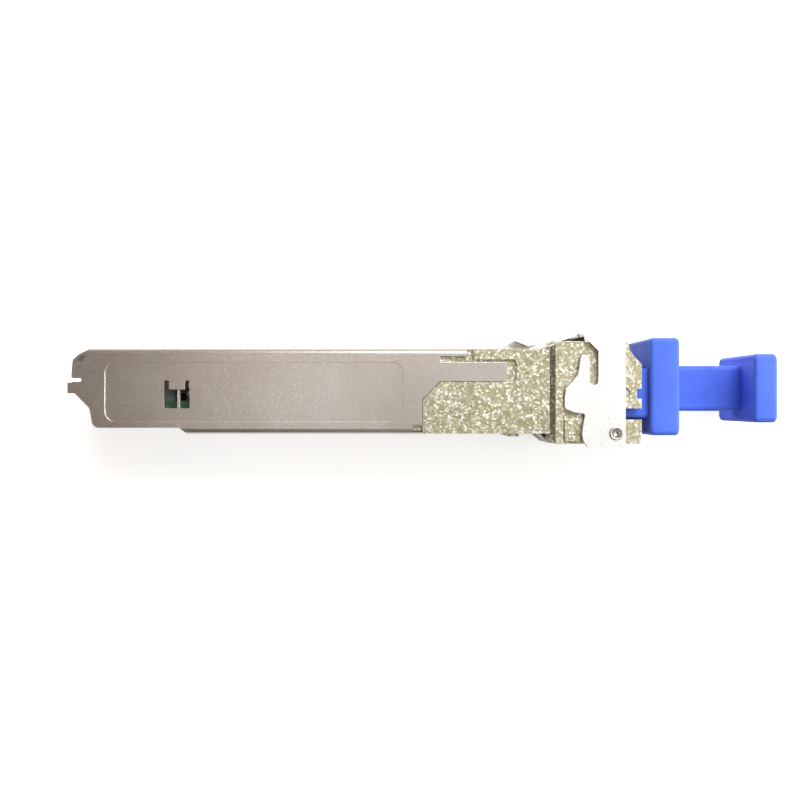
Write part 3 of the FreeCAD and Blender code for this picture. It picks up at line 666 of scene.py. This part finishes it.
def rounded_outline(half_wide: float, half_tall: float, radius: float,
                    per_corner: int = 8) -> np.ndarray:
    """Outline a rectangle with round corners: each corner's quarter circle in turn.

    Args:
        half_wide: half the width.
        half_tall: half the height.
        radius: radius of the corners.
        per_corner: points round each corner.

    Returns:
        Rows of (across, up), counter-clockwise.
    """
    quarter = np.linspace(0, math.pi / 2, per_corner)
    starts = np.arange(4) * math.pi / 2
    angle = (starts[:, None] + quarter).ravel()
    signs = np.array([(1, 1), (-1, 1), (-1, -1), (1, -1)])
    centres = np.repeat(signs * (half_wide - radius, half_tall - radius), per_corner, 0)
    return centres + radius * np.stack((np.cos(angle), np.sin(angle)), 1)


def pillowed_block(name: str, low: np.ndarray, high: np.ndarray, radius: float, edge: float,
                   crown: float, cap_rings: int = 8) -> bpy.types.Object:
    """Make a block along X with round corners, round end edges and crowned ends.

    A rounded rectangle is carried along X. Near each end its size shrinks by edge (1 - cos a)
    while X runs by edge sin a. On the end face, at share s of the way out from its middle, X lies
    crown s squared inside the end.

    Args:
        name: the piece's name.
        low: low corner in mm.
        high: high corner in mm.
        radius: corner radius across X.
        edge: radius of the end edges.
        crown: how far the end faces bulge at their middle.
        cap_rings: rings from an end face's rim to its middle.

    Returns:
        The closed piece.
    """
    middle, half = (low + high) / 2, (high - low) / 2
    bend = np.linspace(0, math.pi / 2, QUARTER)
    rear_x = low[0] + edge * (1 - np.sin(bend))
    rear_inset = edge * (1 - np.cos(bend))
    ring_x = np.concatenate((rear_x[::-1], high[0] - (rear_x - low[0])))
    inset = np.concatenate((rear_inset[::-1], rear_inset))
    rings = []
    for x, less in zip(ring_x, inset):
        outline = rounded_outline(half[1] - less, half[2] - less, max(radius - less * 0.5, 0.1))
        rings.append(np.column_stack((np.full(len(outline), x), outline)))
    caps = []
    for rim, face_x, sign in ((rings[0], low[0], -1), (rings[-1], high[0], 1)):
        layers = []
        for share in np.linspace(1, 0, cap_rings + 1)[1:]:
            layer = rim * (1, share, share)
            layer[:, 0] = face_x - sign * crown * share ** 2
            layers.append(layer)
        caps.append(layers)
    rings[0][:, 0] = low[0] + crown
    rings[-1][:, 0] = high[0] - crown
    stack = np.array(caps[0][::-1] + rings + caps[1])
    stack[..., 1:] += middle[1:]
    count, across = stack.shape[:2]
    return mesh_object(name, stack.reshape(-1, 3) * MM, grid_faces(count, across, False, True))


def small_blocks(name: str, centres: np.ndarray, half: np.ndarray) -> bpy.types.Object:
    """Make many equal blocks: eight corner signs times the half sizes, at each centre.

    Args:
        name: the piece's name.
        centres: rows of places in mm.
        half: half the block's size along each axis.

    Returns:
        One piece that holds them all.
    """
    signs = np.array([(x, y, z) for x in (-1, 1) for y in (-1, 1) for z in (-1, 1)])
    points = (centres[:, None, :] + signs * half).reshape(-1, 3) * MM
    quads = np.array([(0, 1, 3, 2), (4, 6, 7, 5), (0, 4, 5, 1), (2, 3, 7, 6), (0, 2, 6, 4),
                      (1, 5, 7, 3)])
    faces = (np.arange(len(centres))[:, None, None] * len(signs) + quads).reshape(-1, 4).tolist()
    piece = mesh_object(name, points, faces)
    piece.data.shade_flat()
    return piece


def domes(name: str, centres: np.ndarray, radius: float, tall: float, direction: Triple,
          around: int = 12) -> bpy.types.Object:
    """Make many small domes: a half sphere flattened to its height, at each centre.

    The point at angle a and rise r is (radius cos r cos a, radius cos r sin a, tall sin r), with
    its third axis turned to the direction. Each dome's foot is closed by one flat face.

    Args:
        name: the piece's name.
        centres: rows of places in mm.
        radius: radius of the foot.
        tall: height above the foot.
        direction: which way the domes point.
        around: steps round each dome.

    Returns:
        One piece that holds them all.
    """
    angle = np.linspace(0, 2 * math.pi, around, endpoint=False)
    rise = np.linspace(0, math.pi / 2, 5)
    a, r = np.meshgrid(angle, rise)
    flat = np.stack((np.cos(r) * np.cos(a) * radius, np.cos(r) * np.sin(a) * radius,
                     np.sin(r) * tall), -1)
    turn = Vector(direction).to_track_quat("Z", "Y").to_matrix()
    shape = flat.reshape(-1, 3) @ np.array(turn).T
    points = (centres[:, None, :] + shape).reshape(-1, 3) * MM
    first = np.arange(len(centres)) * len(shape)
    sides = first[:, None, None] + np.array(grid_faces(len(rise), around, False, True))
    feet = first[:, None] + np.arange(around)
    return mesh_object(name, points, sides.reshape(-1, 4).tolist() + feet.tolist())


def roomy_edges(work: bmesh.types.BMesh, room: float, angle: float) -> list[bmesh.types.BMEdge]:
    """Find sharp edges whose neighbours are all long enough for a bevel.

    Args:
        work: the closed mesh.
        room: shortest neighbour allowed, in metres.
        angle: edges that turn by more than this many radians are sharp.

    Returns:
        The edges to bevel.
    """
    sharp = [e for e in work.edges if len(e.link_faces) == 2 and e.calc_face_angle() > angle]
    return [e for e in sharp
            if all(n.calc_length() >= room for v in e.verts for n in v.link_edges)]


def bevelled_copy(name: str, source: bpy.types.Object, width: float,
                  finishes: Iterable[bpy.types.Material]) -> bpy.types.Object:
    """Copy a CAD node's mesh, merge it and break its sharp edges.

    The bevel's faces take the second finish. It is a copy of the first, lighter on most pieces to
    paint a highlight along the broken edges and darker on the bail to paint a shade line there.
    Faces meet smoothly below the crease angle, and there the larger face's normal wins, so flat
    faces stay flat.

    Args:
        name: the new piece's name.
        source: the CAD node that it stands for.
        width: bevel width in mm.
        finishes: the face's finish and the edge's, a lighter or darker copy that paints edge
            highlight or edge shade.

    Returns:
        The new piece.
    """
    mesh = source.data.copy()
    mesh.materials.clear()
    for finish in finishes:
        mesh.materials.append(finish)
    work = bmesh.new()
    work.from_mesh(mesh)
    bmesh.ops.remove_doubles(work, verts=work.verts, dist=MERGE * MM)
    bmesh.ops.dissolve_limit(work, angle_limit=math.radians(1), verts=work.verts, edges=work.edges)
    weight = work.edges.layers.float.new("bevel_weight_edge")
    for face in work.faces:
        face.material_index = 0
    for edge in roomy_edges(work, ROOM * width * MM, math.radians(SHARP)):
        edge[weight] = 1.0
    work.to_mesh(mesh)
    work.free()
    piece = bpy.data.objects.new(name, mesh)
    bpy.context.scene.collection.objects.link(piece)
    bevel = piece.modifiers.new("edges", "BEVEL")
    bevel.width = width * MM
    bevel.segments = BEVEL_STEPS
    bevel.limit_method = "WEIGHT"
    # The bevel's faces take the edge finish, which paints a highlight on most pieces and a shade
    # line on the bail.
    bevel.material = 1
    finished = piece.evaluated_get(bpy.context.evaluated_depsgraph_get())
    shaped = bpy.data.meshes.new_from_object(finished)
    piece.modifiers.clear()
    piece.data = shaped
    shaped.name = name
    shaped.shade_smooth()
    shaped.set_sharp_from_angle(angle=math.radians(CREASE))
    flat = piece.modifiers.new("flat_faces", "WEIGHTED_NORMAL")
    flat.mode = "FACE_AREA"
    flat.weight = 100
    flat.keep_sharp = True
    return piece


def islands(item: bpy.types.Object) -> tuple[np.ndarray, np.ndarray]:
    """Box each separate solid in a mesh, found by walking along edges from point to point.

    Args:
        item: the object that holds the solids.

    Returns:
        The low corners and the high corners, in mm, one row for each solid.
    """
    work = bmesh.new()
    work.from_mesh(item.data)
    bmesh.ops.remove_doubles(work, verts=work.verts, dist=2 * SAME)
    work.verts.index_update()
    seen: set[int] = set()
    lows, highs = [], []
    for start in work.verts:
        if start.index in seen:
            continue
        group, queue = [], [start]
        seen.add(start.index)
        while queue:
            vert = queue.pop()
            group.append(vert.co[:])
            for edge in vert.link_edges:
                other = edge.other_vert(vert)
                if other.index not in seen:
                    seen.add(other.index)
                    queue.append(other)
        places = np.array(group) / MM
        lows.append(places.min(0))
        highs.append(places.max(0))
    work.free()
    return np.array(lows), np.array(highs)


# Sub-assemblies


def register(piece: bpy.types.Object, body: str,
             node: str = "") -> bpy.types.Object:
    """Tell the frame about a new piece.

    Args:
        piece: the new piece.
        body: the CAD body that it rides on.
        node: the CAD node that it stands for, if any.

    Returns:
        The same piece.
    """
    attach(piece, body)
    if node:
        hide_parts(node)
    return piece


@dataclass
class CopiedNodes:
    """A group of CAD nodes that are replaced by copies with their edges broken."""

    wardrobe: Wardrobe
    nodes: dict[str, bpy.types.Object]

    def copy(self, name: str, node: str, width: float, slot: str, body: str) -> bpy.types.Object:
        """Make, dress and register a bevelled stand-in for one node.

        Args:
            name: the new piece's name.
            node: the CAD node that it stands for.
            width: bevel width in mm.
            slot: the record's slot of the faces; the edges have a finish of their own, which paints
                a highlight or a shade line along them.
            body: the CAD body that it rides on.

        Returns:
            The new piece.
        """
        # The edge finish is a lighter copy that paints a highlight, and on the bail a darker copy
        # that paints a shade line.
        finishes = [self.wardrobe.of(slot), self.wardrobe.of(f"{slot}_edge")]
        return register(bevelled_copy(name, self.nodes[node], width, finishes), body, node)


@dataclass
class Shell(CopiedNodes):
    """Case, casting and grounding spring: the fixed outside."""

    sheet_edge: float = 0.05
    cast_edge: float = 0.10
    spring_edge: float = 0.02

    def build(self) -> list[bpy.types.Object]:
        """Replace the outside nodes with copies whose edges are broken.

        Returns:
            The new pieces.
        """
        return [
            self.copy("case_skin", "rear_case", self.sheet_edge, "case_steel", "root"),
            self.copy("casting", "front_housing", self.cast_edge, "cast_housing", "root"),
            self.copy("ground_fingers", "ground_spring", self.spring_edge, "spring_steel", "root"),
        ]


@dataclass
class Release(CopiedNodes):
    """Bail, axle, crank and actuator."""

    pivot: tuple[float, float] = (6.41, 0.05)
    bail_edge: float = 0.07
    slide_edge: float = 0.03
    bore: float = 0.4
    outer: float = 0.5
    head: float = 0.68
    head_span: tuple[float, float] = (7.45, 7.6)
    dimple: tuple[tuple[float, float], ...] = ((0.0, 0.1), (0.06, 0.02), (0.35, 0.0))
    dimple_floor: float = 0.45

    def build(self) -> list[bpy.types.Object]:
        """Build the moving metal pieces.

        Returns:
            The new pieces and the crank, which keeps its CAD shape.
        """
        stirrup = self.copy("bail_stirrup", "bail", self.bail_edge, "bail_steel", "bail")
        slide = self.copy("actuator_slide_plate", "actuator_plate", self.slide_edge,
                          "spring_steel", "actuator")
        crank = self.nodes["crank"]
        self.wardrobe.dress(crank, "axle_steel")
        axle = self.axle()
        self.wardrobe.dress(axle, "axle_steel")
        return [stirrup, slide, crank, register(axle, "bail", "pivot_axle")]

    def axle(self) -> bpy.types.Object:
        """Turn a tube whose ends curl over into round heads, each with a blind dimple.

        The head's curl is a half circle from its rear face to its front. The dimple's wall steps
        inwards, at each (depth, extra radius), to its floor.

        Returns:
            The axle.
        """
        low, high = self.head_span
        thick = (high - low) / 2
        curl = np.linspace(0, math.pi, QUARTER)
        right = [(low, self.outer), (low, self.head - thick)]
        right += [(low + thick - thick * math.cos(a), self.head - thick + thick * math.sin(a))
                  for a in curl]
        right += [(high - deep, self.bore + wider) for deep, wider in self.dimple]
        right.append((high - self.dimple_floor, 0.0))
        right = np.array(right)
        profile = np.concatenate((right, right[::-1] * (-1, 1)))
        return turned("pivot_tube", profile, (self.pivot[0], 0, self.pivot[1]), Axis.Y)


@dataclass(frozen=True)
class Slab:
    """One soft-edged block of the plug, centred across the module.

    Its span is from x, to x, from z, to z.
    """

    name: str
    span: Span
    half: float
    radius: float
    edge: float
    crown: float

    def build(self) -> bpy.types.Object:
        """Build the block.

        Returns:
            The closed piece.
        """
        rear, front, under, top = self.span
        low, high = np.array((rear, -self.half, under)), np.array((front, self.half, top))
        return pillowed_block(self.name, low, high, self.radius, self.edge, self.crown)


@dataclass
class DustPlug:
    """Moulded plug: block, neck, grip and two hollow prongs."""

    wardrobe: Wardrobe
    slabs: tuple[Slab, ...] = (
        Slab("plug_block", (9.98, 12.97, -0.19, 9.52), 6.25, 0.5, 0.42, 0.06),
        Slab("plug_neck", (12.7, 20.5, 2.19, 6.87), 1.85, 0.5, 0.05, 0.0),
        Slab("plug_grip", (20.3, 22.72, 1.07, 7.93), 6.25, 0.55, 0.45, 0.05),
    )
    prong: Span = (2.0, 10.3, 1.55, 6.5)
    prong_half: float = 2.25
    prong_round: float = 0.35
    nose: tuple[tuple[float, float], ...] = ((0.3, 1.0), (0.09, 0.98), (0.0, 0.93))
    mouth: tuple[tuple[float, float], ...] = ((0.0, 1.04), (0.06, 1.0))
    bore: float = 1.75
    bore_end: float = 7.6
    optic_z: float = 4.0
    pitch: float = 6.25
    crease: float = 40.0

    def build(self) -> list[bpy.types.Object]:
        """Build the plug's pieces, which stand for its one CAD solid together.

        Returns:
            The new pieces.
        """
        pieces = [slab.build() for slab in self.slabs]
        pieces += [self.hollow_prong(f"plug_prong_{name}", side)
                   for name, side in (("right", -1), ("left", 1))]
        for piece in pieces:
            self.wardrobe.dress(piece, "plug_rubber")
            register(piece, "plug", "dust_plug")
        return pieces

    def hollow_prong(self, name: str, side: int) -> bpy.types.Object:
        """Make a prong with a blind bore.

        Rings run from the front's middle over the outside to the rear, and back inside the bore
        to its end. An outer ring is the rounded outline, and a bore ring has its points on a
        circle at the outline's angles, each times a factor. Those angles bunch at the outline's
        four corners, so the bore comes out nearly square inside its circle.

        Args:
            name: the piece's name.
            side: -1 for the right prong and 1 for the left.

        Returns:
            The closed piece.
        """
        rear, front, low, high = self.prong
        middle_z = (low + high) / 2
        outer = rounded_outline(self.prong_half, (high - low) / 2, self.prong_round)
        angle = np.arctan2(outer[:, 1] + middle_z - self.optic_z, outer[:, 0])
        circle = self.bore * np.stack((np.cos(angle), np.sin(angle)), 1)
        outside = [(front, 0.0), (front, 1.0)] + [(rear + x, factor) for x, factor in self.nose]
        inside = [(rear + x, factor) for x, factor in self.mouth]
        inside += [(self.bore_end, 1.0), (self.bore_end, 0.0)]
        rings = [np.column_stack((np.full(len(outer), x), outer * factor))
                 for x, factor in outside]
        rings += [np.column_stack((np.full(len(outer), x),
                                   circle * factor + (0, self.optic_z - middle_z)))
                  for x, factor in inside]
        stack = np.array(rings)
        stack[..., 1:] += (side * self.pitch / 2, middle_z)
        count, across = stack.shape[:2]
        faces = grid_faces(count, across, False, True)
        piece = mesh_object(name, stack.reshape(-1, 3) * MM, faces)
        piece.data.set_sharp_from_angle(angle=math.radians(self.crease))
        return piece


@dataclass
class Electronics:
    """Board, optics and parts inside, and the solder that holds them."""

    wardrobe: Wardrobe
    nodes: dict[str, bpy.types.Object]
    record: dict
    outside: tuple[str, ...] = ("rear_case", "front_housing", "ground_spring", "bail",
                                "actuator_plate", "pivot_axle", "dust_plug", "crank")
    tinned: tuple[str, ...] = ("chip_resistors", "chip_capacitors", "ferrite_beads")
    cap_half: float = 0.1
    cap_inset: float = 0.09
    cap_proud: float = 0.01
    joint_x: float = -13.26
    joint_radius: float = 0.24
    joint_tall: float = 0.3

    def build(self) -> list[bpy.types.Object]:
        """Dress the inner nodes from the record's slots, and add terminations and joints.

        Returns:
            The dressed nodes and the new pieces.
        """
        pieces = []
        for row in self.record["subparts"]:
            if row["node"] not in self.outside:
                pieces.append(self.nodes[row["node"]])
                self.wardrobe.dress(pieces[-1], row["material_slot"])
        pieces += [self.terminations(node) for node in self.tinned]
        pieces.append(self.lead_joints())
        return pieces

    def terminations(self, node: str) -> bpy.types.Object:
        """Put tinned caps over both ends of every small part of one kind.

        Args:
            node: the CAD node that holds the small parts.

        Returns:
            One piece that holds all the caps.
        """
        low, high = islands(self.nodes[node])
        half = (high - low) / 2
        centres = np.repeat((low + high) / 2, 2, 0)
        centres[:, 0] += ((half[:, :1] - self.cap_inset) * (-1, 1)).ravel()
        centres[:, 2] += self.cap_proud
        cap = np.array((self.cap_half, *(half[-1, 1:] + self.cap_proud)))
        piece = small_blocks(f"{node}_ends", centres, cap)
        self.wardrobe.dress(piece, "solder")
        return register(piece, "root")

    def lead_joints(self) -> bpy.types.Object:
        """Put solder domes where the cans' leads pass through their flexible circuits.

        Returns:
            One piece that holds all the domes.
        """
        boxes = [islands(self.nodes[f"{port}_leads"]) for port in ("transmitter", "receiver")]
        centres = np.concatenate([(low + high) / 2 for low, high in boxes])
        centres[:, 0] = self.joint_x
        piece = domes("lead_solder", centres, self.joint_radius, self.joint_tall, (-1, 0, 0))
        self.wardrobe.dress(piece, "solder")
        return register(piece, "root")


# Stage


@dataclass(frozen=True)
class Lamp:
    """One square soft light, with its place, target and side in mm and its power in watts."""

    name: str
    place: Triple
    target: Triple
    side: float
    power: float
    colour: Triple = (1.0, 1.0, 1.0)

    def hang(self) -> None:
        """Add the light to the scene, turned to its target."""
        lamp = bpy.data.lights.new(self.name, "AREA")
        lamp.shape = "SQUARE"
        lamp.size = self.side * MM
        lamp.energy = self.power
        lamp.color = self.colour
        item = bpy.data.objects.new(self.name, lamp)
        item.location = Vector(self.place) * MM
        aim = Vector(self.target) - Vector(self.place)
        item.rotation_euler = aim.to_track_quat("-Z", "Y").to_euler()
        bpy.context.scene.collection.objects.link(item)


@dataclass
class Studio:
    """Pale table that the module lies on, its lights and the camera."""

    eye: Triple = (-14.82, -116.7, 3.33)
    lens: float = 50.1
    table_y: float = 7.66
    table_half: float = 700.0
    tone: Triple = (0.88, 0.88, 0.88)
    table_rough: float = 0.9
    glow: float = 0.55
    glow_tone: Triple = (1.0, 0.995, 0.99)
    sky_base: float = 1.0
    sky_rise: float = 0.5
    lamps: tuple[Lamp, ...] = (
        Lamp("key", (95, -230, 200), (-5, 0, 4), 240, 0.95, (1.0, 0.99, 0.97)),
        Lamp("side_fill", (260, -110, 30), (0, 0, 4), 120, 0.25, (1.0, 0.99, 0.98)),
        Lamp("spot_glow", (-71, -443, 22), (-26, -7, 6), 60, 0.035, (1.0, 0.96, 0.93)),
        Lamp("back_fill", (-120, 260, 160), (-15, 0, 4), 200, 0.3),
    )
    room: tuple[tuple[float, Triple], ...] = (
        (0.02, (0.22, 0.20, 0.19)),
        (0.26, (0.08, 0.05, 0.033)),
        (0.40, (0.19, 0.135, 0.095)),
        (0.47, (0.50, 0.43, 0.38)),
        (0.525, (0.68, 0.655, 0.62)),
        (0.60, (0.95, 0.95, 0.94)),
        (0.70, (1.15, 1.15, 1.15)),
    )

    def build(self) -> None:
        """Set the table, world, lights and camera."""
        self.table()
        self.world()
        for lamp in self.lamps:
            lamp.hang()
        self.camera()
        bpy.context.scene.view_settings.view_transform = "Standard"

    def table(self) -> None:
        """Lay a pale sheet behind the module, which shows and is lit from the front only."""
        reach, y = self.table_half * MM, self.table_y * MM
        corners = [(-reach, y, -reach), (reach, y, -reach), (reach, y, reach), (-reach, y, reach)]
        mesh = bpy.data.meshes.new("table")
        mesh.from_pydata(corners, [], [(0, 1, 2, 3)])
        table = bpy.data.objects.new("table", mesh)
        bpy.context.scene.collection.objects.link(table)
        material = bpy.data.materials.new("table_white")
        material.use_nodes = True
        tree = material.node_tree
        shader = next(n for n in tree.nodes if n.type == "BSDF_PRINCIPLED")
        out = next(n for n in tree.nodes if n.type == "OUTPUT_MATERIAL")
        shader.inputs["Base Color"].default_value = (*self.tone, 1)
        shader.inputs["Roughness"].default_value = self.table_rough
        shader.inputs["Emission Color"].default_value = (*self.glow_tone, 1)
        shape = tree.nodes.new("ShaderNodeNewGeometry")
        path = tree.nodes.new("ShaderNodeLightPath")
        seen = math_node(tree, "MULTIPLY", path.outputs["Is Camera Ray"], self.glow)
        tree.links.new(seen, shader.inputs["Emission Strength"])
        away = math_node(tree, "MAXIMUM", shape.outputs["Backfacing"],
                         path.outputs["Is Shadow Ray"])
        clear = tree.nodes.new("ShaderNodeBsdfTransparent")
        mix = tree.nodes.new("ShaderNodeMixShader")
        tree.links.new(away, mix.inputs["Fac"])
        tree.links.new(shader.outputs["BSDF"], mix.inputs[1])
        tree.links.new(clear.outputs["BSDF"], mix.inputs[2])
        tree.links.new(mix.outputs["Shader"], out.inputs["Surface"])
        mesh.materials.append(material)

    def world(self) -> None:
        """Make a pale room: brighter towards +X and +Z, warm and dimmer towards -X."""
        world = bpy.data.worlds.new("room")
        bpy.context.scene.world = world
        world.use_nodes = True
        tree = world.node_tree
        sky = next(n for n in tree.nodes if n.type == "BACKGROUND")
        place = tree.nodes.new("ShaderNodeTexCoord")
        split = tree.nodes.new("ShaderNodeSeparateXYZ")
        tree.links.new(place.outputs["Generated"], split.inputs["Vector"])
        ramp = tree.nodes.new("ShaderNodeValToRGB")
        stops = ramp.color_ramp.elements
        stops.remove(stops[1])
        (first_place, first_colour), *others = self.room
        stops[0].position = first_place
        stops[0].color = (*first_colour, 1)
        for stop_place, colour in others:
            stops.new(stop_place).color = (*colour, 1)
        half_x = math_node(tree, "MULTIPLY_ADD", split.outputs["X"], 0.5, 0.5)
        tree.links.new(half_x, ramp.inputs["Fac"])
        tree.links.new(ramp.outputs["Color"], sky.inputs["Color"])
        upper = math_node(tree, "MULTIPLY_ADD", split.outputs["Z"], self.sky_rise, self.sky_base)
        tree.links.new(upper, sky.inputs["Strength"])

    def camera(self) -> None:
        """Set the camera square to the module's side."""
        data = bpy.data.cameras.new("camera")
        data.lens = self.lens
        data.clip_start = 0.001
        data.clip_end = 10.0
        item = bpy.data.objects.new("camera", data)
        item.location = Vector(self.eye) * MM
        item.rotation_euler = (math.pi / 2, 0, 0)
        bpy.context.scene.collection.objects.link(item)
        bpy.context.scene.camera = item


def main() -> None:
    """Load the frame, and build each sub-assembly around it."""
    logging.basicConfig(level=logging.INFO)
    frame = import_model()
    nodes = frame["nodes"]
    wardrobe = Wardrobe()
    for assembly in (Shell(wardrobe, nodes), Release(wardrobe, nodes), DustPlug(wardrobe),
                     Electronics(wardrobe, nodes, frame["record"])):
        for piece in assembly.build():
            LOG.info("%s: %s, %d faces", type(assembly).__name__, piece.name,
                     len(piece.data.polygons))
    Studio().build()


if __name__ == "__main__":
    main()
